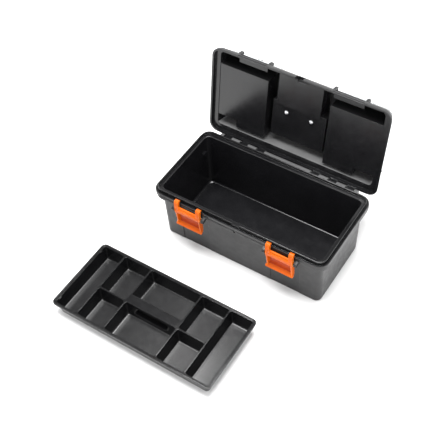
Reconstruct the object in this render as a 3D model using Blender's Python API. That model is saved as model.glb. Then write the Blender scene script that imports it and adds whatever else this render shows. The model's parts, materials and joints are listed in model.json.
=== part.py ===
"""Carpenter's toolbox: tapered tub, organiser lid standing open, rocker latches, handle and lift-out tray.

Lengths are in millimetres here and become metres when a mesh is made. X runs along the
front from left to right, Y goes to the back and Z is up. The origin is the centre of the
tub's underside. The lid group is modelled closed and turned open about the hinge line.
"""
import math

import bmesh
import bpy

MM = 0.001
SEGMENTS = 5
ROUND = 20
SMALL_ROUND = 12
GAP = 0.35

# Tub: half length and half depth of each level, and its heights.
BASE_HALF = (188.8, 87.0)
WALL_TOP_HALF = (191.0, 90.2)
FLANGE_HALF = (203.0, 104.4)
LIP_HALF = (197.5, 98.8)
FLANGE_UNDER = 124.5
FLANGE_STEP = 131.0
FLANGE_TOP = 141.2
GROOVE_FLOOR = 138.0
LIP_TOP = 148.4
SHELF = 142.5
WALL = 3.0
LIP_WALL = 3.0
FLOOR = 3.0
TUB_CORNER = 13.0
LIP_CORNER = 18.0
FLANGE_CORNER = 24.0
NOTCH_HALF = 9.0

# Hinge line behind the flange.
HINGE_Y = 107.0
HINGE_Z = 132.5
HINGE_LEDGE_RADIUS = 8.5
HINGE_LEDGE_HALF = 166.0
HINGE_BARREL_RADIUS = 6.0
HINGE_PIN_RADIUS = 1.5
HINGE_BORE_RADIUS = 1.9
HINGE_WINDOWS = (66.0, 107.0, 148.0)
HINGE_WINDOW_WIDTH = 20.0
HINGE_PIN_SPAN = (50.0, 164.0)
LID_OPEN_ANGLE = 99.0

# Lid, closed.
RIM = 141.6
LAND = 149.0
DECK = 197.0
SKIRT_INSIDE = (198.3, 99.6)
SKIRT_CORNER = 16.0
CAVITY_HALF_LENGTH = 186.0
CAVITY_BACK = 86.0
WELL_UNDERSIDE = 150.2
WELL_INNER = 71.0
WELL_OUTER = 183.5
WELL_FRONT = -65.0
WELL_BACK = 62.0
WELL_TAIL_BACK = 79.5
WELL_TAIL_OUTER = 140.0
SHELL = 2.5
RECESS_HALF = 62.0
RECESS_FRONT = -19.5
RECESS_BACK = 67.0
RECESS_UNDERSIDE = 163.0
POCKET_HALF = 50.0
POCKET_BACK = -17.0
POCKET_UNDERSIDE = 156.0

# Latches: distance of each from the middle, half width, and pivot line.
LATCH_X = 108.0
LATCH_HALF = 31.0
PIVOT_Y = -109.0
PIVOT_Z = 124.0
ARM_OFFSET = 26.0
ARM_HALF = 4.6
EAR_INNER = 33.0
EAR_OUTER = 39.0
LATCH_PIN_RADIUS = 1.5
CATCH_HALF = 33.0
CATCH_BAR_TOP = 146.4
FINGER_RECESS_HALF = 34.5

# Handle on the lid.
HANDLE_Y = 14.0
HANDLE_Z = 174.0
HANDLE_BAR_RADIUS = 4.0
HANDLE_ARM = (39.5, 46.5)
GRIP_Y = -50.0
GRIP_Z = 184.0
SCREW_X = 29.0
SCREW_Y = 1.3

# Organiser covers.
COVER_INNER = 66.0
COVER_OUTER = 190.0
COVER_FRONT = -71.0
COVER_BACK = 82.4
COVER_AXIS_Y = 88.0
COVER_AXIS_Z = 200.6
COVER_TOP = 204.0
COVER_PIN_RADIUS = 1.2
COVER_LUGS = (84.0, 172.0)
COVER_LUG_HALF = 5.0
DIVIDER_Y = (-22.0, 20.0)

# Lift-out tray on the floor in front of the tub.
TRAY_X = -74.5
TRAY_Y = -296.0
TRAY_HALF = (192.0, 89.0)
TRAY_HEIGHT = 36.0
TRAY_RIM_UNDER = 31.5
TRAY_FLOOR = 2.2
TRAY_RIBS = (63.0, 131.0)
TRAY_RIB_HALF = 1.4


def clear_scene():
    for obj in list(bpy.data.objects):
        bpy.data.objects.remove(obj, do_unlink=True)


def plastic(name, colour, roughness, metallic=0.0, alpha=1.0):
    material = bpy.data.materials.new(name)
    material.use_nodes = True
    shader = material.node_tree.nodes["Principled BSDF"]
    shader.inputs["Base Color"].default_value = (*colour, 1.0)
    shader.inputs["Roughness"].default_value = roughness
    shader.inputs["Metallic"].default_value = metallic
    shader.inputs["Alpha"].default_value = alpha
    material.diffuse_color = (*colour, alpha)
    return material


def mesh_object(name, verts, faces):
    """A closed mesh from millimetre coordinates, with its faces turned outwards."""
    mesh = bpy.data.meshes.new(name)
    mesh.from_pydata([(x * MM, y * MM, z * MM) for x, y, z in verts], [], faces)
    work = bmesh.new()
    work.from_mesh(mesh)
    bmesh.ops.recalc_face_normals(work, faces=work.faces)
    work.to_mesh(mesh)
    work.free()
    obj = bpy.data.objects.new(name, mesh)
    bpy.context.scene.collection.objects.link(obj)
    return obj


def rounded_ring(x0, x1, y0, y1, radius, z, segments=SEGMENTS):
    """Points of a rounded rectangle at height z, anticlockwise from its right-hand front corner."""
    points = []
    corners = ((x1 - radius, y0 + radius, -90), (x1 - radius, y1 - radius, 0),
               (x0 + radius, y1 - radius, 90), (x0 + radius, y0 + radius, 180))
    for cx, cy, start in corners:
        for step in range(segments + 1):
            angle = math.radians(start + 90.0 * step / segments)
            points.append((cx + radius * math.cos(angle), cy + radius * math.sin(angle), z))
    return points


def loft(name, rings):
    """Solid through rings of equal point count, capped at both ends."""
    count = len(rings[0])
    verts = [point for ring in rings for point in ring]
    faces = [list(range(count))[::-1]]
    for level in range(len(rings) - 1):
        low = level * count
        for i in range(count):
            j = (i + 1) % count
            faces.append((low + i, low + j, low + count + j, low + count + i))
    last = (len(rings) - 1) * count
    faces.append(list(range(last, last + count)))
    return mesh_object(name, verts, faces)


def centred_loft(name, levels):
    """Loft of centred rounded rectangles: (half length, half depth, radius, height)."""
    return loft(name, [rounded_ring(-hx, hx, -hy, hy, r, z) for hx, hy, r, z in levels])


def block(name, x0, x1, y0, y1, z0, z1):
    ring = [(x0, y0), (x1, y0), (x1, y1), (x0, y1)]
    return loft(name, [[(x, y, z) for x, y in ring] for z in (z0, z1)])


def prism_x(name, outline, x0, x1):
    """Outline of (y, z) points run along X."""
    return loft(name, [[(x, y, z) for y, z in outline] for x in (x0, x1)])


def arc(cy, cz, radius, start, end, steps):
    """(y, z) points on an arc, angles in degrees from +Y towards +Z."""
    angles = [math.radians(start + (end - start) * i / steps) for i in range(steps + 1)]
    return [(cy + radius * math.cos(a), cz + radius * math.sin(a)) for a in angles]


def rod_x(name, y, z, radius, x0, x1, sides=ROUND):
    outline = arc(y, z, radius, 0, 360 - 360 / sides, sides - 1)
    return prism_x(name, outline, x0, x1)


def disc_stack(name, x, y, levels, sides=ROUND):
    """Turned piece on a vertical axis: (radius, height) levels."""
    rings = []
    for radius, z in levels:
        angles = [2 * math.pi * i / sides for i in range(sides)]
        rings.append([(x + radius * math.cos(a), y + radius * math.sin(a), z) for a in angles])
    return loft(name, rings)


def combine(target, tools, operation):
    """Apply one exact Boolean for each tool, then drop the tools."""
    for tool in tools:
        modifier = target.modifiers.new(operation.lower(), "BOOLEAN")
        modifier.operation = operation
        modifier.object = tool
        modifier.solver = "EXACT"
        bpy.context.view_layer.update()
        depsgraph = bpy.context.evaluated_depsgraph_get()
        result = bpy.data.meshes.new_from_object(target.evaluated_get(depsgraph))
        target.modifiers.clear()
        old = target.data
        target.data = result
        bpy.data.meshes.remove(old)
        bpy.data.objects.remove(tool, do_unlink=True)
    return target


def cut(target, *tools):
    return combine(target, tools, "DIFFERENCE")


def add(target, *tools):
    return combine(target, tools, "UNION")


def finish(obj, material, smooth_angle=35.0):
    """Weld doubled points, give the material and shade round stretches smooth."""
    work = bmesh.new()
    work.from_mesh(obj.data)
    bmesh.ops.remove_doubles(work, verts=work.verts, dist=0.00001)
    bmesh.ops.dissolve_degenerate(work, dist=0.00001, edges=work.edges)
    work.to_mesh(obj.data)
    work.free()
    obj.data.materials.clear()
    obj.data.materials.append(material)
    obj.data.shade_smooth()
    obj.data.set_sharp_from_angle(angle=math.radians(smooth_angle))
    return obj


def axis_empty(name, y, z, x=0.0, parent=None, parent_axis=(0.0, 0.0, 0.0)):
    """Empty on a hinge line; its position is given in the parent's closed coordinates."""
    empty = bpy.data.objects.new(name, None)
    bpy.context.scene.collection.objects.link(empty)
    px, py, pz = parent_axis
    empty.location = ((x - px) * MM, (y - py) * MM, (z - pz) * MM)
    empty.parent = parent
    return empty


def hang(obj, empty, x, y, z):
    """Parent a piece modelled in closed coordinates to the empty that stands at (x, y, z)."""
    obj.parent = empty
    obj.location = (-x * MM, -y * MM, -z * MM)


# ---------------------------------------------------------------- tub

def tub_levels():
    """The tub's skin as one run of rings: up the outside, over the lip and down the inside."""
    bx, by = BASE_HALF
    wx, wy = WALL_TOP_HALF
    fx, fy = FLANGE_HALF
    lx, ly = LIP_HALF
    r = TUB_CORNER
    lip = LIP_CORNER
    rim = FLANGE_CORNER
    channel_top = GROOVE_FLOOR - 2.4
    return [
        (bx - 3.0, by - 3.0, r - 3.0, 0.0),
        (bx - 1.0, by - 1.0, r - 1.5, 1.0),
        (bx, by, r, 3.5),
        (wx, wy, r, FLANGE_UNDER),
        (wx + 0.8, wy + 0.8, r, channel_top),
        (fx - 4.4, fy - 4.4, rim - 5.0, channel_top),
        (fx - 4.0, fy - 4.0, rim - 4.6, FLANGE_UNDER),
        (fx - 1.4, fy - 1.4, rim - 1.4, FLANGE_UNDER),
        (fx - 1.2, fy - 1.2, rim - 1.2, FLANGE_STEP - 0.6),
        (fx, fy, rim, FLANGE_STEP),
        (fx, fy, rim, FLANGE_TOP - 0.8),
        (fx - 0.8, fy - 0.8, rim - 0.8, FLANGE_TOP),
        (fx - 2.2, fy - 2.2, rim - 2.2, FLANGE_TOP),
        (fx - 2.6, fy - 2.6, rim - 2.6, GROOVE_FLOOR),
        (lx, ly, lip, GROOVE_FLOOR),
        (lx, ly, lip, LIP_TOP - 1.1),
        (lx - 0.4, ly - 0.4, lip - 0.4, LIP_TOP - 0.3),
        (lx - 1.1, ly - 1.1, lip - 1.1, LIP_TOP),
        (lx - LIP_WALL + 1.1, ly - LIP_WALL + 1.1, lip - 1.9, LIP_TOP),
        (lx - LIP_WALL + 0.4, ly - LIP_WALL + 0.4, lip - 2.6, LIP_TOP - 0.3),
        (lx - LIP_WALL, ly - LIP_WALL, lip - 3.0, LIP_TOP - 1.1),
        (lx - LIP_WALL, ly - LIP_WALL, lip - 3.0, SHELF),
        (wx - WALL + 1.0, wy - WALL + 1.0, r - 2.6, SHELF),
        (wx - WALL + 0.2, wy - WALL + 0.2, r - 2.8, SHELF - 0.8),
        (wx - WALL, wy - WALL, r - 2.8, FLANGE_UNDER),
        (bx - WALL + 0.1, by - WALL + 0.1, r - 2.8, FLOOR + 4.0),
        (bx - WALL - 1.3, by - WALL - 1.3, r - 3.6, FLOOR + 1.3),
        (bx - WALL - 4.0, by - WALL - 4.0, r - 5.0, FLOOR),
    ]


def mirrored(values):
    return tuple(sign * value for sign in (-1, 1) for value in values)


def hinge_ledge():
    top = HINGE_Z + HINGE_LEDGE_RADIUS
    outline = [(FLANGE_HALF[1] - 2.0, top - 0.2)]
    outline += arc(HINGE_Y, HINGE_Z, HINGE_LEDGE_RADIUS, 90, -60, 10)
    outline += [(FLANGE_HALF[1] - 2.0, HINGE_Z - HINGE_LEDGE_RADIUS + 1.0)]
    return prism_x("ledge", outline, -HINGE_LEDGE_HALF, HINGE_LEDGE_HALF)


def latch_ear(centre):
    """Rounded ear under the flange that carries one end of a latch pin."""
    outline = [(-101.6, 131.5), (-107.0, 130.0)]
    outline += arc(PIVOT_Y, PIVOT_Z, 5.2, 100, 260, 8)
    outline += [(-101.6, 121.5)]
    half = (EAR_OUTER - EAR_INNER) / 2
    return prism_x("ear", outline, centre - half, centre + half)


def finger_recess(x):
    """Shallow pocket in the front wall below a latch."""
    depth = 1.5
    slope = (WALL_TOP_HALF[1] - BASE_HALF[1]) / FLANGE_UNDER
    low, high = -2.0, 108.0
    top, foot = -(BASE_HALF[1] + slope * high), -(BASE_HALF[1] + slope * low)
    outline = [(-99.0, low), (-99.0, high), (top, high + 2.0), (top + depth, high - 3.0), (foot + depth, low)]
    return prism_x("finger_recess", outline, x - FINGER_RECESS_HALF, x + FINGER_RECESS_HALF)


def make_tub(material):
    tub = centred_loft("tub_shell", tub_levels())
    add(tub, hinge_ledge())
    for x in mirrored(HINGE_WINDOWS):
        half = HINGE_WINDOW_WIDTH / 2
        cut(tub, block("window", x - half, x + half, 100.2, 118.0, 122.0, 143.0))
    for sign in (-1, 1):
        ends = sorted((sign * (HINGE_PIN_SPAN[0] - 1.0), sign * (HINGE_LEDGE_HALF + 2.0)))
        cut(tub, rod_x("bore", HINGE_Y, HINGE_Z, HINGE_BORE_RADIUS, ends[0], ends[1], SMALL_ROUND))
    middle = (EAR_INNER + EAR_OUTER) / 2
    for x in mirrored((LATCH_X,)):
        cut(tub, finger_recess(x))
        for side in (-1, 1):
            add(tub, latch_ear(x + side * middle))
        cut(tub, rod_x("bore", PIVOT_Y, PIVOT_Z, LATCH_PIN_RADIUS + GAP,
                       x - EAR_OUTER - 1.0, x + EAR_OUTER + 1.0, SMALL_ROUND))
        inner = WALL_TOP_HALF[0] - WALL
        side = 1 if x > 0 else -1
        for y in (-68.0, 68.0):
            ends = sorted((side * (inner - 4.5), side * (inner + 1.5)))
            add(tub, block("tray_rest", ends[0], ends[1], y - 5.0, y + 5.0, 98.0, 107.0))
    cut(tub, block("lip_notch", -NOTCH_HALF, NOTCH_HALF, -101.0, -94.5, SHELF + 0.8, LIP_TOP + 2.0))
    cut(tub, block("padlock_slot", -2.6, 2.6, -106.0, -98.0, FLANGE_UNDER + 2.0, GROOVE_FLOOR - 2.8))
    return finish(tub, material)


def make_hinge_pins(material):
    for sign, side in ((-1, "left"), (1, "right")):
        ends = sorted((sign * HINGE_PIN_SPAN[0], sign * HINGE_PIN_SPAN[1]))
        pin = rod_x(f"hinge_pin_{side}", HINGE_Y, HINGE_Z, HINGE_PIN_RADIUS, ends[0], ends[1], SMALL_ROUND)
        finish(pin, material)


# ---------------------------------------------------------------- lid

# Lid's outside, closed: height, half length, front, back and corner radius.
LID_PROFILE = ((RIM, 203.0, -104.4, 104.4, 21.0), (RIM + 6.4, 201.2, -104.0, 104.1, 20.0),
               (RIM + 9.4, 199.4, -103.0, 103.4, 19.0), (RIM + 12.4, 197.8, -100.6, 102.6, 18.5),
               (RIM + 43.0, 187.9, -80.4, 98.0, 16.0), (DECK - 1.2, 184.4, -72.6, 95.8, 14.5),
               (DECK, 183.2, -71.2, 94.6, 13.5))



def lid_outside():
    return loft("lid_shell", [rounded_ring(-hx, hx, y0, y1, r, z) for z, hx, y0, y1, r in LID_PROFILE])


def lid_hollow():
    """Everything taken out of the lid from below, around the wells and the handle recess."""
    roof = DECK - SHELL
    levels = ((LAND - 0.5, CAVITY_HALF_LENGTH, -95.5, CAVITY_BACK, 9.0),
              (LAND + 6.0, CAVITY_HALF_LENGTH - 1.0, -92.0, CAVITY_BACK, 9.0),
              (RIM + 43.0, CAVITY_HALF_LENGTH - 3.0, -73.6, CAVITY_BACK, 9.0),
              (roof, CAVITY_HALF_LENGTH - 6.0, -66.5, CAVITY_BACK, 9.0))
    hollow = loft("hollow", [rounded_ring(-hx, hx, y0, y1, r, z) for z, hx, y0, y1, r in levels])
    far = 260.0
    for sign in (-1, 1):
        ends = sorted((sign * WELL_INNER, sign * far))
        cut(hollow, block("well", ends[0], ends[1], WELL_FRONT, WELL_BACK, WELL_UNDERSIDE, far))
        ends = sorted((sign * WELL_INNER, sign * WELL_TAIL_OUTER))
        cut(hollow, block("well_tail", ends[0], ends[1], 0.0, WELL_TAIL_BACK, WELL_UNDERSIDE, far))
    cut(hollow, block("recess", -RECESS_HALF, RECESS_HALF, RECESS_FRONT, RECESS_BACK, RECESS_UNDERSIDE, far))
    cut(hollow, block("pocket", -POCKET_HALF, POCKET_HALF, -far, POCKET_BACK, POCKET_UNDERSIDE, far))
    return hollow


def well_inside(sign):
    """L-shaped organiser well, open at the deck."""
    x0, x1 = sorted((sign * (WELL_INNER + SHELL), sign * (WELL_OUTER - SHELL)))
    low = WELL_UNDERSIDE + SHELL
    y0, y1 = WELL_FRONT + SHELL, WELL_BACK - SHELL
    rings = [rounded_ring(x0 + inset, x1 - inset, y0 + inset, y1 - inset, 5.0, z)
             for inset, z in ((1.5, low), (0.4, low + 1.5), (0.0, DECK + 5.0))]
    well = loft("well_inside", rings)
    x0, x1 = sorted((sign * (WELL_INNER + SHELL + 0.4), sign * (WELL_TAIL_OUTER - SHELL)))
    add(well, block("tail", x0, x1, 0.0, WELL_TAIL_BACK - SHELL, low + 1.5, DECK + 4.0))
    return well


def divider_guides(sign):
    """Pairs of small ribs that hold the loose dividers."""
    guides = []
    for y in DIVIDER_Y:
        for x in (WELL_INNER + SHELL, WELL_OUTER - SHELL):
            inward = 1.0 if x < 100 else -1.0
            x0, x1 = sorted((sign * (x - inward * 1.2), sign * (x + inward * 1.6)))
            for side in (-1, 1):
                near, far = sorted((y + side * 1.2, y + side * 2.6))
                guides.append(block("guide", x0, x1, near, far, WELL_UNDERSIDE + 1.0, DECK - 3.0))
    return guides


def front_catch(x):
    """Cut-out in the lid's front that a latch's hooks drop into."""
    outline = [(-108.0, RIM - 2.0), (-101.7, RIM - 2.0), (-101.7, 150.5), (-98.3, 153.5),
               (-88.5, 168.5), (-90.5, 176.0), (-108.0, 176.0)]
    return prism_x("catch", outline, x - CATCH_HALF, x + CATCH_HALF)


def catch_bar(x):
    """Bar across a catch that the hooks hold."""
    top = CATCH_BAR_TOP
    outline = [(-100.9, top - 4.0), (-103.4, top - 3.2), (-104.3, top - 2.2), (-104.3, top - 0.8),
               (-103.2, top), (-100.9, top)]
    return prism_x("catch_bar", outline, x - CATCH_HALF - 0.5, x + CATCH_HALF + 0.5)


def catch_plate(x):
    """Flat shelf behind a catch, level with the skirt's land."""
    return block("catch_plate", x - CATCH_HALF, x + CATCH_HALF, -97.0, -85.5, LAND, LAND + SHELL)


def catch_cheek(x):
    """Rounded fin that stands beside a catch."""
    outline = [(-102.0, 150.0), (-103.6, 152.0), (-103.6, 161.0)]
    outline += arc(-99.4, 161.5, 4.2, 180, 60, 5)
    outline += [(-90.0, 164.0), (-94.0, 154.0)]
    return prism_x("cheek", outline, x - 3.0, x + 3.0)


def lid_knuckle(x):
    """Hinge arm: a barrel round the hinge line with a web up to the lid's rear skirt."""
    half = HINGE_WINDOW_WIDTH / 2 - 1.0
    outline = [(101.0, 145.0)] + [(101.0, HINGE_Z + 1.0)]
    outline += arc(HINGE_Y, HINGE_Z, HINGE_BARREL_RADIUS, 170, 370, 12)
    outline += [(109.0, 138.5), (104.2, 145.0)]
    return prism_x("knuckle", outline, x - half, x + half)


def cover_lug(x):
    outline = [(COVER_AXIS_Y - 2.8, DECK - 1.0), (COVER_AXIS_Y + 2.8, DECK - 1.0)]
    outline += arc(COVER_AXIS_Y, COVER_AXIS_Z, 2.8, 0, 180, 8)
    return prism_x("lug", outline, x - COVER_LUG_HALF, x + COVER_LUG_HALF)


def well_bead(sign):
    """Raised rim round a well, which the cover closes over."""
    inner, outer = WELL_INNER + SHELL, WELL_OUTER - SHELL
    x0, x1 = sorted((sign * (inner - 2.2), sign * (outer + 2.0)))
    y0, y1 = WELL_FRONT + SHELL - 2.2, WELL_TAIL_BACK - SHELL + 2.2
    return loft("bead", [rounded_ring(x0, x1, y0, y1, 6.0, z) for z in (DECK - 1.0, DECK + 3.2)])


def make_lid(material):
    lid = lid_outside()
    sx, sy = SKIRT_INSIDE
    cut(lid, centred_loft("skirt_inside", [(sx, sy, SKIRT_CORNER, z) for z in (RIM - 3.0, LAND)]))
    for sign in (-1, 1):
        add(lid, well_bead(sign))
    cut(lid, lid_hollow())
    for sign in (-1, 1):
        cut(lid, well_inside(sign))
        add(lid, *divider_guides(sign))
    half, back, low = RECESS_HALF - SHELL, RECESS_BACK - SHELL, RECESS_UNDERSIDE + SHELL
    front = RECESS_FRONT + SHELL
    cut(lid, loft("recess_inside", [rounded_ring(-half + 2.0, half - 2.0, front, back, 5.0, low),
                                    rounded_ring(-half, half, front, back, 5.0, DECK + 3.0)]))
    half, back, high = POCKET_HALF - SHELL, POCKET_BACK - SHELL, low + 0.5
    cut(lid, loft("recess_mouth", [rounded_ring(-half, half, -74.0, front + 9.0, 5.0, low),
                                   rounded_ring(-half, half, -64.5, front + 9.0, 5.0, DECK + 3.0)]))
    low = POCKET_UNDERSIDE + SHELL
    cut(lid, loft("pocket_inside", [rounded_ring(-half + 1.0, half - 1.0, -76.0, back, 5.0, low),
                                    rounded_ring(-half, half, -73.0, back, 5.0, high)]))
    for x in mirrored((LATCH_X,)):
        cut(lid, front_catch(x))
        add(lid, catch_bar(x), catch_plate(x))
        for side in (-1, 1):
            add(lid, catch_cheek(x + side * (CATCH_HALF + 2.0)))
    high = RECESS_UNDERSIDE + SHELL
    cut(lid, block("hasp_channel", -NOTCH_HALF, NOTCH_HALF, -106.0, -86.0, RIM - 2.0, high))
    for x in mirrored(HINGE_WINDOWS):
        add(lid, lid_knuckle(x))
        half = HINGE_WINDOW_WIDTH / 2
        cut(lid, rod_x("bore", HINGE_Y, HINGE_Z, HINGE_BORE_RADIUS, x - half, x + half, SMALL_ROUND))
    for x in mirrored(COVER_LUGS):
        add(lid, cover_lug(x))
        cut(lid, rod_x("bore", COVER_AXIS_Y, COVER_AXIS_Z, COVER_PIN_RADIUS + GAP,
                       x - COVER_LUG_HALF - 1.0, x + COVER_LUG_HALF + 1.0, SMALL_ROUND))
    for x in (-SCREW_X, SCREW_X):
        levels = ((2.3, RECESS_UNDERSIDE - 2.0), (2.3, 170.0))
        cut(lid, disc_stack("screw_hole", x, SCREW_Y, levels, SMALL_ROUND))
    return finish(lid, material)


def make_dividers(material):
    made = []
    for sign, side in ((-1, "left"), (1, "right")):
        for number, y in enumerate(DIVIDER_Y, start=1):
            x0, x1 = sorted((sign * (WELL_INNER + SHELL + 0.5), sign * (WELL_OUTER - SHELL - 0.5)))
            low = WELL_UNDERSIDE + SHELL + 1.9
            plate = block(f"organiser_divider_{side}_{number}", x0, x1, y - 0.8, y + 0.8, low, DECK - 2.0)
            made.append(finish(plate, material))
    return made


# ---------------------------------------------------------------- organiser covers

def make_cover(sign, side, material):
    x0, x1 = sorted((sign * COVER_INNER, sign * COVER_OUTER))
    y0, y1 = COVER_FRONT, COVER_BACK
    top = COVER_TOP
    outer = ((0.0, 8.0, DECK + GAP), (0.0, 8.0, top - 1.6), (0.5, 7.6, top - 0.5), (1.6, 7.0, top))
    inner = ((2.0, 6.2, DECK - 4.0), (2.0, 6.2, top - 2.0))
    shapes = [loft(name, [rounded_ring(x0 + inset, x1 - inset, y0 + inset, y1 - inset, radius, z)
                          for inset, radius, z in levels])
              for name, levels in ((f"organiser_cover_{side}", outer), ("cover_inside", inner))]
    cover = cut(*shapes)
    middle = sign * sum(COVER_LUGS) / 2
    half = (COVER_LUGS[1] - COVER_LUGS[0]) / 2 - COVER_LUG_HALF - 0.6
    outline = [(COVER_BACK - 1.0, COVER_TOP - 0.6), (COVER_BACK - 1.0, COVER_AXIS_Z - 2.2)]
    outline += arc(COVER_AXIS_Y, COVER_AXIS_Z, 2.8, -130, 90, 10)
    add(cover, prism_x("cover_knuckle", outline, middle - half, middle + half))
    cut(cover, rod_x("bore", COVER_AXIS_Y, COVER_AXIS_Z, COVER_PIN_RADIUS + GAP,
                     middle - half - 1.0, middle + half + 1.0, SMALL_ROUND))
    tab = [(COVER_FRONT + 1.0, DECK + 3.0), (COVER_FRONT - 5.0, DECK + 3.4), (COVER_FRONT - 6.0, DECK + 4.6),
           (COVER_FRONT - 5.0, DECK + 5.4), (COVER_FRONT + 1.0, DECK + 6.0)]
    add(cover, prism_x("tab", tab, middle - 12.0, middle + 12.0))
    return finish(cover, material)


def make_cover_pin(sign, side, material):
    x0, x1 = sorted((sign * (COVER_LUGS[0] - 4.0), sign * (COVER_LUGS[1] + 4.0)))
    pin = rod_x(f"cover_pin_{side}", COVER_AXIS_Y, COVER_AXIS_Z, COVER_PIN_RADIUS, x0, x1, SMALL_ROUND)
    return finish(pin, material)


# ---------------------------------------------------------------- handle

def make_handle_bracket(material):
    """Saddle in the recess that holds the handle's rear bar down."""
    base = RECESS_UNDERSIDE + SHELL + GAP
    outline = [(-6.5, base), (HANDLE_Y + 9.0, base), (HANDLE_Y + 9.0, base + 3.0)]
    outline += arc(HANDLE_Y, HANDLE_Z, 7.2, 0, 100, 6)
    outline += [(1.0, 179.0), (-5.5, 174.0), (-6.5, 172.0)]
    bracket = prism_x("handle_bracket", outline, -38.0, 38.0)
    cut(bracket, rod_x("bore", HANDLE_Y, HANDLE_Z, HANDLE_BAR_RADIUS + GAP, -40.0, 40.0))
    for x in (-SCREW_X, SCREW_X):
        cut(bracket, disc_stack("bore", x, SCREW_Y, ((2.1, base - 2.0), (2.1, 176.0)), SMALL_ROUND))
    return finish(bracket, material)


def make_screw(x, side, material):
    under = RECESS_UNDERSIDE - GAP
    levels = ((1.6, 160.2), (3.2, 160.4), (4.3, 161.4), (4.4, under), (1.75, under), (1.75, 174.5),
              (0.6, 175.6))
    screw = disc_stack(f"handle_screw_{side}", x, SCREW_Y, levels)
    cut(screw, block("slot", x - 2.6, x + 2.6, SCREW_Y - 0.5, SCREW_Y + 0.5, 158.0, 161.2))
    cut(screw, block("slot", x - 0.5, x + 0.5, SCREW_Y - 2.6, SCREW_Y + 2.6, 158.0, 161.2))
    return finish(screw, material)


def make_handle(material):
    """Closed loop: round rear bar, two flat arms and a round front bar inside the grip."""
    inner, outer = HANDLE_ARM
    handle = rod_x("handle_frame", HANDLE_Y, HANDLE_Z, HANDLE_BAR_RADIUS, -inner - 1.0, inner + 1.0)
    add(handle, rod_x("front_bar", GRIP_Y, GRIP_Z, 5.5, -inner - 1.0, inner + 1.0))
    tilt = math.degrees(math.atan2(GRIP_Z - HANDLE_Z, HANDLE_Y - GRIP_Y))
    outline = arc(HANDLE_Y, HANDLE_Z, 6.4, 90 - tilt, -90 - tilt, 8)
    outline += arc(GRIP_Y, GRIP_Z, 8.0, 270 - tilt, 90 - tilt, 8)
    for sign in (-1, 1):
        x0, x1 = sorted((sign * inner, sign * outer))
        add(handle, prism_x("arm", outline, x0, x1))
    return finish(handle, material)


def make_grip(material):
    half = HANDLE_ARM[0] - 0.6
    rings = []
    count = 24
    for x, swell in ((-half, -0.9), (-half + 1.0, 0.0), (-half / 2, 0.6), (0.0, 0.9), (half / 2, 0.6),
                     (half - 1.0, 0.0), (half, -0.9)):
        ring = []
        for i in range(count):
            angle = 2 * math.pi * i / count
            wide, tall = 9.4 + swell, 8.0 + swell
            ring.append((x, GRIP_Y + wide * math.cos(angle), GRIP_Z + tall * math.sin(angle)))
        rings.append(ring)
    grip = loft("handle_grip", rings)
    cut(grip, rod_x("bore", GRIP_Y, GRIP_Z, 5.5 + GAP, -half - 1.0, half + 1.0))
    return finish(grip, material)


# ---------------------------------------------------------------- latches

def latch_plate(x):
    """Plate of the latch: flared lower lip, sunk panel between side frames, and a band over the pivot.

    Each level is a height, the half width, and how far the back lies behind the pivot line and
    the side frames and the middle lie before it.
    """
    levels = ((79.6, 30.6, -0.4, 1.6, 1.6), (80.8, 31.4, 0.4, 3.6, 3.6), (83.2, 31.6, 2.0, 3.6, 3.2),
              (85.4, 31.0, 4.5, 2.2, 0.6), (87.0, 30.4, 6.5, 1.4, -4.0), (90.0, 29.8, 7.8, 1.0, -5.6),
              (115.0, 29.8, 7.4, 4.0, -5.0), (118.5, 30.4, 4.4, 4.8, 3.6), (121.0, 30.8, 3.0, 5.2, 4.6),
              (128.0, LATCH_HALF, 1.0, 5.2, 4.6), (129.0, LATCH_HALF, 1.0, 4.4, 3.4),
              (134.0, LATCH_HALF, 1.0, 3.4, 2.8), (135.0, 30.4, 0.4, 2.2, 2.0))
    rings = []
    for z, half, back, side, middle in levels:
        front = ((half, side - 1.4), (half - 1.0, side), (half - 3.2, side), (half - 4.4, middle))
        ring = [(x - offset, PIVOT_Y - depth, z) for offset, depth in front]
        ring += [(x + offset, PIVOT_Y - depth, z) for offset, depth in reversed(front)]
        rings.append(ring + [(x + half, PIVOT_Y + back, z), (x - half, PIVOT_Y + back, z)])
    return loft("plate", rings)


def latch_arm(x):
    """Hooked arm that reaches over the flange to the lid's catch bar."""
    over = CATCH_BAR_TOP + 0.8
    outline = [(-109.0, 128.0), (-113.6, 130.0), (-113.9, 136.0), (-113.4, 143.0)]
    outline += arc(-107.9, CATCH_BAR_TOP + 0.6, 5.4, 190, 30, 9)
    outline += [(-102.5, over + 0.2), (-105.6, over), (-106.4, over - 4.2), (-107.6, 138.0), (-107.6, 130.0)]
    return prism_x("arm", outline, x - ARM_HALF, x + ARM_HALF)


def make_latch(x, side, material):
    latch = latch_plate(x)
    latch.name = f"latch_{side}"
    ends = (x - LATCH_HALF, x + LATCH_HALF)
    add(latch, rod_x("hub", PIVOT_Y, PIVOT_Z, 3.9, *ends))
    for offset in (-ARM_OFFSET, ARM_OFFSET):
        add(latch, latch_arm(x + offset))
    bore = LATCH_PIN_RADIUS + GAP
    cut(latch, rod_x("bore", PIVOT_Y, PIVOT_Z, bore, ends[0] - 1.0, ends[1] + 1.0, SMALL_ROUND))
    return finish(latch, material)


def make_latch_pin(x, side, material):
    half = EAR_OUTER - 0.4
    pin = rod_x(f"latch_pin_{side}", PIVOT_Y, PIVOT_Z, LATCH_PIN_RADIUS, x - half, x + half, SMALL_ROUND)
    return finish(pin, material)


# ---------------------------------------------------------------- tray

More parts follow.
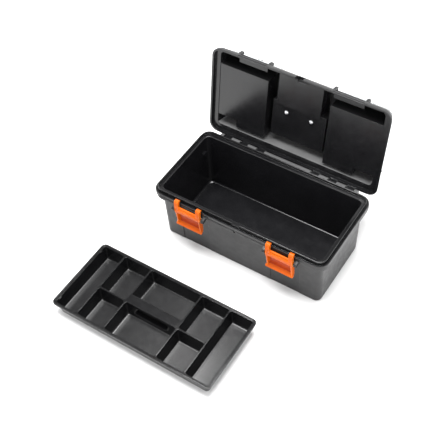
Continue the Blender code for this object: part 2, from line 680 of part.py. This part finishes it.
def tray_cell(x0, x1, y0, y1):
    """Compartment with leaning walls and a rounded foot."""
    floor, top = TRAY_FLOOR, TRAY_HEIGHT
    levels = ((7.0, 2.0, floor), (5.2, 2.6, floor + 0.7), (4.0, 3.2, floor + 3.0), (0.0, 4.5, top - 3.0),
              (0.0, 4.5, top + 3.0))
    return loft("cell", [rounded_ring(x0 + inset, x1 - inset, y0 + inset, y1 - inset, radius, z, 3)
                         for inset, radius, z in levels])


def grip_slot():
    """Hand slot with round ends under the tray's grip bar."""
    half, low, high = 44.0, 9.0, 28.0
    radius = (high - low) / 2
    middle = (high + low) / 2
    outline = arc(half - radius, middle, radius, -90, 90, 8) + arc(-half + radius, middle, radius, 90, 270, 8)
    return loft("grip_slot", [[(x, y, z) for x, z in outline] for y in (-24.0, 26.0)])


def make_tray(material):
    hx, hy = TRAY_HALF
    under, top = TRAY_RIM_UNDER, TRAY_HEIGHT
    tray = centred_loft("tray", [
        (hx - 12.0, hy - 11.0, 6.0, 0.0), (hx - 10.6, hy - 9.6, 7.0, 0.9), (hx - 6.0, hy - 5.0, 8.0, under),
        (hx - 0.6, hy - 0.6, 10.0, under), (hx, hy, 10.5, under + 0.8), (hx, hy, 10.5, top - 1.2),
        (hx - 1.0, hy - 1.0, 9.8, top), (hx - 2.6, hy - 2.6, 8.6, top), (hx - 3.2, hy - 3.2, 8.2, top - 1.4),
    ])
    near, far = TRAY_RIBS
    rib = TRAY_RIB_HALF
    ex, ey = hx - 7.5, hy - 6.5
    for sign in (-1, 1):
        x0, x1 = sorted((sign * (far + rib), sign * ex))
        cut(tray, tray_cell(x0, x1, -ey, ey))
        x0, x1 = sorted((sign * (near + rib), sign * (far - rib)))
        cut(tray, tray_cell(x0, x1, -5.4, ey))
        cut(tray, tray_cell(x0, x1, -ey, -8.2))
    cut(tray, tray_cell(-near + rib, near - rib, 12.0, ey))
    cut(tray, tray_cell(-near + rib, near - rib, -ey, -8.2))
    cut(tray, grip_slot())
    add(tray, block("ridge_lip", -near + 14.0, near - 14.0, 10.6, 12.0, top - 2.4, top))
    for x in mirrored(TRAY_RIBS):
        cut(tray, block("rim_slot", x - 1.6, x + 1.6, -hy - 1.0, -hy + 1.4, under - 1.0, under + 2.0))
    outline = [(hx - 8.4, 24.0), (hx - 6.4, 24.0), (hx - 0.8, under + 0.5), (hx - 8.4, under + 0.5)]
    for sign in (-1, 1):
        for y in (-68.0, 68.0):
            ends = (y - 3.0, y + 3.0)
            add(tray, loft("gusset", [[(sign * x, end, z) for x, z in outline] for end in ends]))
    tray.location = (TRAY_X * MM, TRAY_Y * MM, 0.0)
    return finish(tray, material)


# ---------------------------------------------------------------- assembly

def main():
    clear_scene()
    black = plastic("black_polypropylene", (0.028, 0.028, 0.03), 0.42)
    dark = plastic("black_handle_nylon", (0.02, 0.02, 0.022), 0.5)
    rubber = plastic("soft_grip_rubber", (0.015, 0.015, 0.016), 0.75)
    orange = plastic("orange_polypropylene", (0.83, 0.2, 0.03), 0.38)
    clear = plastic("clear_cover", (0.85, 0.87, 0.88), 0.08, alpha=0.35)
    steel = plastic("zinc_steel", (0.7, 0.7, 0.72), 0.3, metallic=1.0)

    make_tub(black)
    make_hinge_pins(steel)
    make_tray(black)

    for sign, side in ((-1, "left"), (1, "right")):
        x = sign * LATCH_X
        make_latch_pin(x, side, dark)
        latch_axis = axis_empty(f"latch_axis_{side}", PIVOT_Y, PIVOT_Z, x)
        hang(make_latch(x, side, orange), latch_axis, x, PIVOT_Y, PIVOT_Z)

    lid_axis = axis_empty("lid_axis", HINGE_Y, HINGE_Z)
    lid_axis.rotation_euler = (math.radians(-LID_OPEN_ANGLE), 0.0, 0.0)
    lid_origin = (0.0, HINGE_Y, HINGE_Z)
    lid_pieces = [make_lid(black), make_handle_bracket(dark)]
    lid_pieces += [make_screw(-SCREW_X, "left", steel), make_screw(SCREW_X, "right", steel)]
    lid_pieces += make_dividers(dark)
    for sign, side in ((-1, "left"), (1, "right")):
        lid_pieces.append(make_cover_pin(sign, side, steel))
        cover_axis = axis_empty(f"cover_axis_{side}", COVER_AXIS_Y, COVER_AXIS_Z, 0.0, lid_axis, lid_origin)
        hang(make_cover(sign, side, clear), cover_axis, 0.0, COVER_AXIS_Y, COVER_AXIS_Z)
    for piece in lid_pieces:
        hang(piece, lid_axis, *lid_origin)

    handle_axis = axis_empty("handle_axis", HANDLE_Y, HANDLE_Z, 0.0, lid_axis, lid_origin)
    for piece in (make_handle(dark), make_grip(rubber)):
        hang(piece, handle_axis, 0.0, HANDLE_Y, HANDLE_Z)


main()
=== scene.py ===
"""Looks of the carpenter's toolbox: fine edges, moulded plastics, studio floor, light and camera.

Lengths are in metres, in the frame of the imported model, and sizes inside materials are in
millimetres. Each piece starts from its CAD node, gets rounded edges and, where it has more
than one finish, a material for each.
"""
import json
import math

import bmesh
import bpy
from mathutils import Matrix, Vector
from mathutils.bvhtree import BVHTree
from mathutils.geometry import delaunay_2d_cdt


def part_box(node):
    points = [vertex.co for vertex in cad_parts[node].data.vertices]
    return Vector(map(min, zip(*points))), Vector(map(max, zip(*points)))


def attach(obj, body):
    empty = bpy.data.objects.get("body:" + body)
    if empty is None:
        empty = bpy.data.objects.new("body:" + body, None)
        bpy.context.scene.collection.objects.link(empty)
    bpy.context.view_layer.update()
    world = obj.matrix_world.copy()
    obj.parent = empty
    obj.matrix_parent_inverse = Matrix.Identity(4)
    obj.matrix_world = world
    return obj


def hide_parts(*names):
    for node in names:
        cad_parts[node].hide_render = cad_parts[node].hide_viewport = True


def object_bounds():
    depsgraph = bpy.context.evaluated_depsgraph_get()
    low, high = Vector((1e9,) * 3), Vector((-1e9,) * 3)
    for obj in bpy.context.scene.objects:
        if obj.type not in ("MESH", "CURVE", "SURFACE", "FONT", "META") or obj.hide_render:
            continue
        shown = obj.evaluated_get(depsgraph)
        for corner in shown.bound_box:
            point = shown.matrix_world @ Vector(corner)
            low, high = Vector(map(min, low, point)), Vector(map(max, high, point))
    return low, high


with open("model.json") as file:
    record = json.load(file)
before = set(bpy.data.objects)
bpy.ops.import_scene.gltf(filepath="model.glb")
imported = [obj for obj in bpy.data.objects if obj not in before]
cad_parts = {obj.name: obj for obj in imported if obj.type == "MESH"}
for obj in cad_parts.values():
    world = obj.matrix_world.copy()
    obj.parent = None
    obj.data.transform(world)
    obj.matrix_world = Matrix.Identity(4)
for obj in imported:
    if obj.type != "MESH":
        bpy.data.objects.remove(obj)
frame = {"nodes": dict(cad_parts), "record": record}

CAD_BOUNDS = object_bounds()

MM = 0.001
BODY_OF = {node: body for body, nodes in frame["record"]["behaviour"]["bodies"].items() for node in nodes}
SLOT_OF = {part["node"]: part["material_slot"] for part in frame["record"]["subparts"]}

# Rounding of the CAD meshes.
EDGE_ROUND = 0.35 * MM
SHARP_CORNER = math.radians(50)
SMOOTH_ANGLE = math.radians(42)
FLAT_ANGLE = math.radians(0.4)
WELD = 0.005 * MM
WELD_ROUNDED = 0.01 * MM
CDT_TOLERANCE = 1e-6

# Where the finishes change: corners of the CAD boxes, and distances from them.
TUB_LOW, TUB_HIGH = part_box("tub_shell")
LID_LOW, LID_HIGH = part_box("lid_shell")
TRAY_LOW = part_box("tray")[0]
LATCH_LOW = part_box("latch_left")[0]
RIM_DEPTH = 10.6 * MM
LEDGE_DEPTH = 11.8 * MM
REAR_WALL_HEIGHT = 60 * MM
REAR_WALL_START = 10 * MM
CELL_FLOOR_HEIGHT = 4 * MM
PANEL_DEPTH = 5.5 * MM
LEDGE_UP = 0.3
REAR_WALL_UP = 0.6
CELL_FLOOR_UP = 0.9
PANEL_FORWARD = 0.7

# Points that see the inner sides, as shares of the boxes.
EYE_CLEARANCE = 0.05 * MM
TUB_EYE_REACH = 0.35
TUB_EYE_HEIGHTS = (0.7, 1.6)
LID_EYE_REACH = 0.4
LID_EYE_HEIGHTS = (0.2, 0.5, 0.8)
LID_EYE_DISTANCE = 60 * MM

# Sizes in moulded plastic, in millimetres.
CLOUD_SIZE = 45.0
SCUFF_AND_HIGHLIGHT_PATCH_SIZE = 9.0
POLISH_SIZE = 14.0
WAVE_SIZE = 60.0
WEAR_AND_HIGHLIGHT_RADIUS = 0.9

# Edge mask for wear and painted edge highlights: samples of the rounded normal, and its dot
# product with the true one where the mask is full and where it ends.
EDGE_MASK_SAMPLES = 4
FULL_EDGE_DOT = 0.86
FLAT_DOT = 0.995

# Studio: heights on the walls and ceiling are sines of elevation, and levels are radiances.
WALL_TOP = 0.42
CEILING_FROM = 0.80
WALL_LEVEL = 2.3
CEILING_LEVEL = 0.33
SOFTBOX_PLACE = (-0.1, 0.0, 2.4)
SOFTBOX_TARGET = (-0.1, 0.0, 0.1)
SOFTBOX_SIZE = (1.4, 1.4)
SOFTBOX_WATTS = 120.0
FLOOR_HALF = 3.0
FLOOR_CELLS = 8
FLOOR_GAP = 0.2 * MM

# Camera: its lens in millimetres and its turns in degrees.
CAMERA_PLACE = (0.6119, -0.9950, 1.4749)
CAMERA_YAW = 35.53
CAMERA_PITCH = 50.60
CAMERA_ROLL = -3.82
CAMERA_LENS = 69.56
CAMERA_SENSOR = 36.0


# ---------------------------------------------------------------- materials

class Look:
    """A procedural material: its Principled shader, and nodes in millimetres of the object."""

    def __init__(self, name, roughness, metallic=0.0, **sockets):
        self.material = bpy.data.materials.new(name)
        self.material.use_nodes = True
        self.tree = self.material.node_tree
        self.shader = self.tree.nodes["Principled BSDF"]
        self.shader.inputs["Roughness"].default_value = roughness
        self.shader.inputs["Metallic"].default_value = metallic
        for socket, value in sockets.items():
            self.shader.inputs[socket.replace("_", " ")].default_value = value
        self.bump = None

    def node(self, kind, **values):
        made = self.tree.nodes.new(kind)
        for key, value in values.items():
            if key in made.inputs:
                made.inputs[key].default_value = value
            else:
                setattr(made, key, value)
        return made

    def link(self, source, target):
        self.tree.links.new(source, target)

    def place(self, stretch=(1.0, 1.0, 1.0)):
        """Coordinates in millimetres, each divided by its stretch."""
        where = self.node("ShaderNodeTexCoord")
        scale = self.node("ShaderNodeMapping")
        scale.inputs["Scale"].default_value = tuple(1.0 / (MM * s) for s in stretch)
        self.link(where.outputs["Object"], scale.inputs["Vector"])
        return scale.outputs["Vector"]

    def noise(self, size, detail=3.0, stretch=(1.0, 1.0, 1.0), rough=0.5):
        """Noise whose features are about size millimetres across."""
        made = self.node("ShaderNodeTexNoise", Scale=1.0 / size, Detail=detail, Roughness=rough)
        self.link(self.place(stretch), made.inputs["Vector"])
        return made.outputs["Fac"]

    def ramp(self, source, low, high, start=0.35, end=0.65):
        """A number that goes from low to high as source goes from start to end."""
        made = self.node("ShaderNodeMapRange")
        for key, value in (("From Min", start), ("From Max", end), ("To Min", low), ("To Max", high)):
            made.inputs[key].default_value = value
        self.link(source, made.inputs["Value"])
        return made.outputs["Result"]

    def blend(self, factor, first, second):
        """Colour that goes from first to second by factor; each is a colour or an output."""
        made = self.node("ShaderNodeMix", data_type="RGBA")
        self.link(factor, made.inputs["Factor"])
        for name, value in (("A", first), ("B", second)):
            socket = [i for i in made.inputs if i.name == name and i.type == "RGBA"][0]
            if isinstance(value, tuple):
                socket.default_value = (*value, 1.0)
            else:
                self.link(value, socket)
        return [o for o in made.outputs if o.type == "RGBA"][0]

    def edges(self, radius):
        """Near 1 along outer edges, 0 on flat stretches."""
        soft = self.node("ShaderNodeBevel", samples=EDGE_MASK_SAMPLES)
        soft.inputs["Radius"].default_value = radius * MM
        true = self.node("ShaderNodeNewGeometry")
        dot = self.node("ShaderNodeVectorMath", operation="DOT_PRODUCT")
        self.link(soft.outputs["Normal"], dot.inputs[0])
        self.link(true.outputs["Normal"], dot.inputs[1])
        return self.ramp(dot.outputs["Value"], 1.0, 0.0, FULL_EDGE_DOT, FLAT_DOT)

    def raise_by(self, height, distance):
        """Bump of distance millimetres from a height output, on top of any before it."""
        made = self.node("ShaderNodeBump")
        made.inputs["Strength"].default_value = 1.0
        made.inputs["Distance"].default_value = distance * MM
        self.link(height, made.inputs["Height"])
        if self.bump:
            self.link(self.bump, made.inputs["Normal"])
        self.bump = made.outputs["Normal"]
        self.link(self.bump, self.shader.inputs["Normal"])

    def colour(self, source):
        self.link(source, self.shader.inputs["Base Color"])

    def roughness(self, source):
        self.link(source, self.shader.inputs["Roughness"])


def moulded(name, dark, light, rough, grain, depth, edge_wear_and_highlight, wave=0.12, sheen=0.5, even=0.0):
    """Moulded plastic: clouded colour, lighter edges that are partly rubbed and partly painted
    highlight, and grain and wave in millimetres.

    The lighter edge colour comes in patches along the edges; even is its share between them.
    """
    look = Look(name, sum(rough) / 2, Specular_IOR_Level=sheen)
    clouds = look.ramp(look.noise(CLOUD_SIZE), 0.0, 1.0)
    body = look.blend(clouds, dark, light)
    scuff_and_highlight_patches = look.ramp(look.noise(SCUFF_AND_HIGHLIGHT_PATCH_SIZE, 6.0, rough=0.7), even, 1.0, 0.45, 0.7)
    worn_and_lit_edges = look.node("ShaderNodeMath", operation="MULTIPLY")
    look.link(look.edges(WEAR_AND_HIGHLIGHT_RADIUS), worn_and_lit_edges.inputs[0])
    look.link(scuff_and_highlight_patches, worn_and_lit_edges.inputs[1])
    # Painted highlight mixed with wear: edges blend towards the lighter edge colour.
    look.colour(look.blend(worn_and_lit_edges.outputs["Value"], body, edge_wear_and_highlight))
    look.roughness(look.ramp(look.noise(POLISH_SIZE, 5.0, rough=0.65), rough[0], rough[1]))
    look.raise_by(look.noise(grain, 2.0), depth)
    look.raise_by(look.noise(WAVE_SIZE, 1.0), wave)
    return look


def outside_black():
    """Matt black polypropylene with the fine etched grain of a mould, and light grey edges that are partly
    rubbed and partly painted highlight.
    """
    look = moulded("black_grained", (0.0075, 0.0075, 0.008), (0.0105, 0.0105, 0.011), (0.34, 0.46),
                   0.55, 0.02, (0.13, 0.13, 0.132), sheen=0.37, even=0.35)
    return look.material


def inside_black():
    """Glossy black inner side, with faint upright drag marks and fine scratches."""
    look = moulded("black_polished", (0.0050, 0.0050, 0.0058), (0.0070, 0.0070, 0.0080), (0.17, 0.22),
                   2.4, 0.003, (0.03, 0.03, 0.033), wave=0.03)
    look.raise_by(look.noise(1.1, 2.0, stretch=(1.0, 1.0, 40.0)), 0.004)
    look.raise_by(look.noise(0.8, 2.0, stretch=(26.0, 1.0, 1.0)), 0.003)
    return look.material


def rim_black():
    """Polished black of the tub's rolled flange and lip, with light grey edges that are partly rubbed and
    partly painted highlight.
    """
    look = moulded("black_rim", (0.0035, 0.0035, 0.0040), (0.0050, 0.0050, 0.0055), (0.15, 0.20),
                   1.6, 0.003, (0.12, 0.12, 0.122), wave=0.02, even=0.3)
    return look.material


def lid_inside_black():
    """Satin inner side of the lid."""
    look = moulded("black_satin", (0.0050, 0.0050, 0.0056), (0.0075, 0.0075, 0.0082), (0.18, 0.24),
                   1.0, 0.004, (0.035, 0.035, 0.037), wave=0.05)
    return look.material


def textured_with_painted_light(name, dark, light):
    """Coarser texture with a grey colour that is painted light, as on the up-facing hinge ledge and on the
    lid's rear wall inside.
    """
    look = moulded(name, dark, light, (0.52, 0.62), 0.8, 0.03, (0.14, 0.14, 0.14))
    return look.material


def tray_black():
    """Polished black of the tray's walls and rim, with grey edges that are partly rubbed and partly
    painted highlight.
    """
    look = moulded("tray_satin", (0.0035, 0.0035, 0.0040), (0.0050, 0.0050, 0.0055), (0.14, 0.18),
                   0.9, 0.002, (0.05, 0.05, 0.051), wave=0.02, even=0.2)
    return look.material


def tray_floor_black():
    """Satin floors of the tray's cells, lighter than the walls and rim by painted light on these up-facing
    floors.
    """
    look = moulded("tray_floor_satin", (0.009, 0.009, 0.0095), (0.012, 0.012, 0.0125), (0.20, 0.24),
                   3.0, 0.001, (0.05, 0.05, 0.051), wave=0.01)
    return look.material


def nylon_black():
    """Dark grained nylon."""
    look = moulded("nylon_grained", (0.014, 0.014, 0.015), (0.021, 0.021, 0.022), (0.40, 0.52), 0.7, 0.03,
                   (0.06, 0.06, 0.062))
    return look.material


def orange(name, dark, light):
    """Orange latch plastic, slightly see-through; the bright orange along its edges is a painted
    highlight, mixed with rubbing.
    """
    look = moulded(name, dark, light, (0.32, 0.44), 0.8, 0.006, (0.90, 0.36, 0.040), sheen=0.18, even=0.75)
    look.shader.inputs["Subsurface Weight"].default_value = 0.05
    look.shader.inputs["Subsurface Radius"].default_value = (1.6 * MM, 0.6 * MM, 0.2 * MM)
    look.shader.inputs["Subsurface Scale"].default_value = 1.0
    return look.material


def soft_grip():
    """Soft rubber with a pebbled skin."""
    look = moulded("rubber_pebbled", (0.012, 0.012, 0.013), (0.018, 0.018, 0.019), (0.62, 0.78), 1.3, 0.12,
                   (0.04, 0.04, 0.04))
    return look.material


def clear_plastic():
    """Clear cover with faint clouding and wipe marks."""
    look = Look("clear_polystyrene", 0.08, IOR=1.5, Transmission_Weight=1.0)
    look.colour(look.blend(look.ramp(look.noise(40.0), 0.0, 1.0), (0.93, 0.95, 0.96), (0.88, 0.90, 0.91)))
    look.roughness(look.ramp(look.noise(6.0, 6.0, rough=0.7), 0.04, 0.16))
    look.raise_by(look.noise(30.0, 1.0), 0.08)
    return look.material


def zinc():
    """Bright plated steel, brushed along the pins."""
    look = Look("zinc_plated", 0.28, metallic=1.0)
    look.colour(look.blend(look.ramp(look.noise(2.0), 0.0, 1.0), (0.62, 0.63, 0.65), (0.78, 0.78, 0.79)))
    look.roughness(look.ramp(look.noise(0.6, 3.0, stretch=(14.0, 1.0, 1.0)), 0.18, 0.36))
    look.raise_by(look.noise(0.5, 2.0, stretch=(14.0, 1.0, 1.0)), 0.01)
    return look.material


# ---------------------------------------------------------------- rounded pieces

def placed(name, data):
    """A new object with this data, in the scene."""
    made = bpy.data.objects.new(name, data)
    bpy.context.scene.collection.objects.link(made)
    return made


def solid_mesh(node):
    """The node's mesh with shared corners and flat faces made whole again."""
    work = bmesh.new()
    work.from_mesh(frame["nodes"][node].data)
    bmesh.ops.remove_doubles(work, verts=work.verts, dist=WELD)
    bmesh.ops.dissolve_limit(work, angle_limit=FLAT_ANGLE, verts=work.verts, edges=work.edges)
    return work


def round_edges(work):
    """Round every sharp edge."""
    sharp = [e for e in work.edges if e.is_manifold and e.calc_face_angle(0.0) > SHARP_CORNER]
    bmesh.ops.bevel(work, geom=sharp, offset=EDGE_ROUND, offset_type="OFFSET", segments=2, profile=0.5,
                    affect="EDGES", clamp_overlap=False, loop_slide=True, harden_normals=False)
    bmesh.ops.remove_doubles(work, verts=work.verts, dist=WELD_ROUNDED)
    bmesh.ops.dissolve_degenerate(work, dist=WELD, edges=work.edges)


def inside(point, border):
    """Even-odd test of a 2D point against border segments."""
    hits = 0
    for (x0, y0), (x1, y1) in border:
        if (y0 > point.y) != (y1 > point.y) and point.x < x0 + (point.y - y0) * (x1 - x0) / (y1 - y0):
            hits += 1
    return hits % 2 == 1


def fill_large_faces(work):
    """Split each many-cornered face into triangles, keeping any holes in it open."""
    for face in [f for f in work.faces if len(f.verts) > 4]:
        normal = face.normal.copy()
        across = normal.orthogonal().normalized()
        along = normal.cross(across)
        corners = list(dict.fromkeys(loop.vert for loop in face.loops))
        flat = [Vector((c.co.dot(across), c.co.dot(along))) / MM for c in corners]
        number = {corner: i for i, corner in enumerate(corners)}
        uses = {}
        for loop in face.loops:
            uses[loop.edge] = uses.get(loop.edge, 0) + 1
        pairs = {edge: (number[edge.verts[0]], number[edge.verts[1]]) for edge in uses}
        border = [(flat[pairs[e][0]], flat[pairs[e][1]]) for e, count in uses.items() if count == 1]
        split = delaunay_2d_cdt(flat, list(pairs.values()), [], 0, CDT_TOLERANCE)
        points, triangles, origins = split[0], split[2], split[3]
        height = normal * face.calc_center_median().dot(normal)
        work.faces.remove(face)
        ends = []
        for point, origin in zip(points, origins):
            if origin:
                ends.append(corners[origin[0]])
            else:
                ends.append(work.verts.new((across * point.x + along * point.y) * MM + height))
        for triangle in triangles:
            middle = sum((points[i] for i in triangle), Vector((0.0, 0.0))) / 3
            face_ends = [ends[i] for i in triangle]
            if inside(middle, border) and len(set(face_ends)) == 3 and work.faces.get(face_ends) is None:
                work.faces.new(face_ends)


def mark_inside(mesh, eyes):
    """Give slot 1 to the faces that any of the eye points sees."""
    tree = BVHTree.FromPolygons([v.co for v in mesh.vertices], [list(p.vertices) for p in mesh.polygons])
    for polygon in mesh.polygons:
        target = polygon.center + polygon.normal * EYE_CLEARANCE
        for eye in eyes:
            ray = target - eye
            if ray.dot(polygon.normal) < 0 and tree.ray_cast(eye, ray.normalized(), ray.length)[0] is None:
                polygon.material_index = 1
                break


def mark_zone(mesh, slot, test):
    """Give a slot to the faces whose middle and normal pass a test."""
    for polygon in mesh.polygons:
        if test(polygon.center, polygon.normal):
            polygon.material_index = slot


def on_rim(middle, normal):
    """The tub's flange, groove and lip."""
    return middle.z > TUB_HIGH.z - RIM_DEPTH


def on_hinge_ledge(middle, normal):
    """The top of the ledge behind the flange that carries the hinge."""
    return normal.z > LEDGE_UP and middle.y > TUB_HIGH.y - LEDGE_DEPTH


def on_rear_wall(middle, normal):
    """The lid's rear wall inside, which looks up while the lid stands open."""
    return (normal.z > REAR_WALL_UP and middle.z < LID_LOW.z + REAR_WALL_HEIGHT
            and middle.y > TUB_HIGH.y + REAR_WALL_START)


def on_cell_floor(middle, normal):
    """The floors of the tray's cells."""
    return normal.z > CELL_FLOOR_UP and middle.z < TRAY_LOW.z + CELL_FLOOR_HEIGHT


def on_sunk_panel(middle, normal):
    """The sunk middle of a latch's face."""
    return normal.y < -PANEL_FORWARD and middle.y > LATCH_LOW.y + PANEL_DEPTH


def refine(node, looks, eyes=(), zones=()):
    """A rounded copy of a CAD node that stands for it and rides on its body.

    Slot 0 is the piece's main look, slot 1 is what the eyes see, and the zones' slots follow.
    """
    work = solid_mesh(node)
    round_edges(work)
    fill_large_faces(work)
    bmesh.ops.delete(work, geom=[v for v in work.verts if not v.link_faces], context="VERTS")
    mesh = bpy.data.meshes.new(node + "_moulded")
    work.to_mesh(mesh)
    work.free()
    if "custom_normal" in mesh.attributes:
        mesh.attributes.remove(mesh.attributes["custom_normal"])
    mesh.shade_smooth()
    mesh.set_sharp_from_angle(angle=SMOOTH_ANGLE)
    for look in looks:
        mesh.materials.append(look)
    mark_inside(mesh, eyes)
    for slot, zone in enumerate(zones, start=2):
        mark_zone(mesh, slot, zone)
    piece = placed(node + "_moulded", mesh)
    weighted = piece.modifiers.new("even_shading", "WEIGHTED_NORMAL")
    weighted.keep_sharp = True
    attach(piece, BODY_OF[node])
    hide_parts(node)


# ---------------------------------------------------------------- studio

def camera():
    """The view from high on the right of the box's front."""
    yaw, pitch, roll = (math.radians(a) for a in (CAMERA_YAW, CAMERA_PITCH, CAMERA_ROLL))
    ahead = Vector((-math.sin(yaw) * math.cos(pitch), math.cos(yaw) * math.cos(pitch), -math.sin(pitch)))
    right = Vector((math.cos(yaw), math.sin(yaw), 0.0))
    up = right.cross(ahead)
    rolled_right = right * math.cos(roll) + up * math.sin(roll)
    rolled_up = up * math.cos(roll) - right * math.sin(roll)
    data = bpy.data.cameras.new("camera")
    data.lens = CAMERA_LENS
    data.sensor_width = CAMERA_SENSOR
    holder = placed("camera", data)
    axes = Matrix((rolled_right, rolled_up, -ahead)).transposed().to_4x4()
    holder.matrix_world = Matrix.Translation(Vector(CAMERA_PLACE)) @ axes
    bpy.context.scene.camera = holder


def floor_look():
    """Matt pale sheet, faintly clouded."""
    look = Look("pale_floor", 0.6)
    look.colour(look.blend(look.ramp(look.noise(90.0), 0.0, 1.0), (0.84, 0.84, 0.84), (0.87, 0.87, 0.87)))
    return look.material


def floor():
    """Pale sheet that the box and the tray stand on."""
    work = bmesh.new()
    bmesh.ops.create_grid(work, x_segments=FLOOR_CELLS, y_segments=FLOOR_CELLS, size=FLOOR_HALF)
    mesh = bpy.data.meshes.new("floor")
    work.to_mesh(mesh)
    work.free()
    mesh.materials.append(floor_look())
    sheet = placed("floor", mesh)
    sheet.location.z = CAD_BOUNDS[0].z - FLOOR_GAP


def softbox():
    """The one lamp, straight overhead."""
    data = bpy.data.lights.new("overhead", "AREA")
    data.shape = "RECTANGLE"
    data.size, data.size_y = SOFTBOX_SIZE
    data.energy = SOFTBOX_WATTS
    lamp = placed("overhead", data)
    lamp.location = SOFTBOX_PLACE
    aim = Vector(SOFTBOX_TARGET) - Vector(SOFTBOX_PLACE)
    lamp.rotation_euler = aim.to_track_quat("-Z", "Y").to_euler()


def cove(world):
    """White walls up to about twenty-five degrees that darken to a dim ceiling."""
    tree = world.node_tree
    background = tree.nodes["Background"]
    direction = tree.nodes.new("ShaderNodeTexCoord")
    height = tree.nodes.new("ShaderNodeSeparateXYZ")
    level = tree.nodes.new("ShaderNodeMapRange")
    level.interpolation_type = "SMOOTHSTEP"
    for socket, value in (("From Min", WALL_TOP), ("From Max", CEILING_FROM), ("To Min", WALL_LEVEL),
                          ("To Max", CEILING_LEVEL)):
        level.inputs[socket].default_value = value
    tree.links.new(direction.outputs["Generated"], height.inputs["Vector"])
    tree.links.new(height.outputs["Z"], level.inputs["Value"])
    tree.links.new(level.outputs["Result"], background.inputs["Strength"])
    background.inputs["Color"].default_value = (1.0, 1.0, 1.0, 1.0)


def studio():
    """The cove, the lamp and plain colours."""
    scene = bpy.context.scene
    scene.view_settings.view_transform = "Standard"
    world = bpy.data.worlds.new("studio")
    world.use_nodes = True
    cove(world)
    scene.world = world
    softbox()


# ---------------------------------------------------------------- the object

def tub_eyes():
    """Points inside the tub's hollow."""
    middle = (TUB_LOW + TUB_HIGH) / 2
    reach = TUB_EYE_REACH * (TUB_HIGH.x - TUB_LOW.x)
    return [Vector((x, 0.0, middle.z * share)) for x in (-reach, 0.0, reach) for share in TUB_EYE_HEIGHTS]


def lid_eyes():
    """Points in front of the open lid's inner side."""
    reach = LID_EYE_REACH * (LID_HIGH.x - LID_LOW.x)
    front = LID_LOW.y - LID_EYE_DISTANCE
    return [Vector((x, front, LID_LOW.z + share * (LID_HIGH.z - LID_LOW.z)))
            for x in (-reach, 0.0, reach) for share in LID_EYE_HEIGHTS]


def main():
    camera()
    studio()
    floor()
    black = outside_black()
    polished = inside_black()
    satin = lid_inside_black()
    tray = tray_black()
    latch_orange = orange("orange_latch", (0.47, 0.074, 0.0010), (0.55, 0.094, 0.0016))
    # Painted shade: a darker copy of the latch orange for the sunk panels of the latches.
    painted_shade_orange = orange("orange_painted_shade", (0.30, 0.028, 0.0006), (0.36, 0.038, 0.0010))
    plain = {"black_polypropylene": black, "tray_polypropylene": tray, "orange_polypropylene": latch_orange,
             "black_nylon": nylon_black(), "soft_grip": soft_grip(), "clear_cover": clear_plastic(),
             "zinc_steel": zinc()}
    # Painted light: light grey on the up-facing hinge ledge and on the lid's rear wall inside.
    ledge = textured_with_painted_light("black_ledge", (0.070, 0.070, 0.071), (0.090, 0.090, 0.091))
    rear = textured_with_painted_light("black_rear_wall", (0.090, 0.090, 0.091), (0.120, 0.120, 0.121))
    zoned = {
        "tub_shell": ((black, polished, rim_black(), ledge), tub_eyes(), (on_rim, on_hinge_ledge)),
        "lid_shell": ((black, satin, rear), lid_eyes(), (on_rear_wall,)),
        # The up-facing cell floors take the lighter colour of painted light.
        "tray": ((tray, tray, tray_floor_black()), (), (on_cell_floor,)),
        # The sunk panels of the latches take the darker orange of painted shade.
        "latch_left": ((latch_orange, latch_orange, painted_shade_orange), (), (on_sunk_panel,)),
        "latch_right": ((latch_orange, latch_orange, painted_shade_orange), (), (on_sunk_panel,)),
    }
    for node, (looks, eyes, zones) in zoned.items():
        refine(node, looks, eyes, zones)
    for node in sorted(set(frame["nodes"]) - set(zoned)):
        refine(node, (plain[SLOT_OF[node]],))


main()
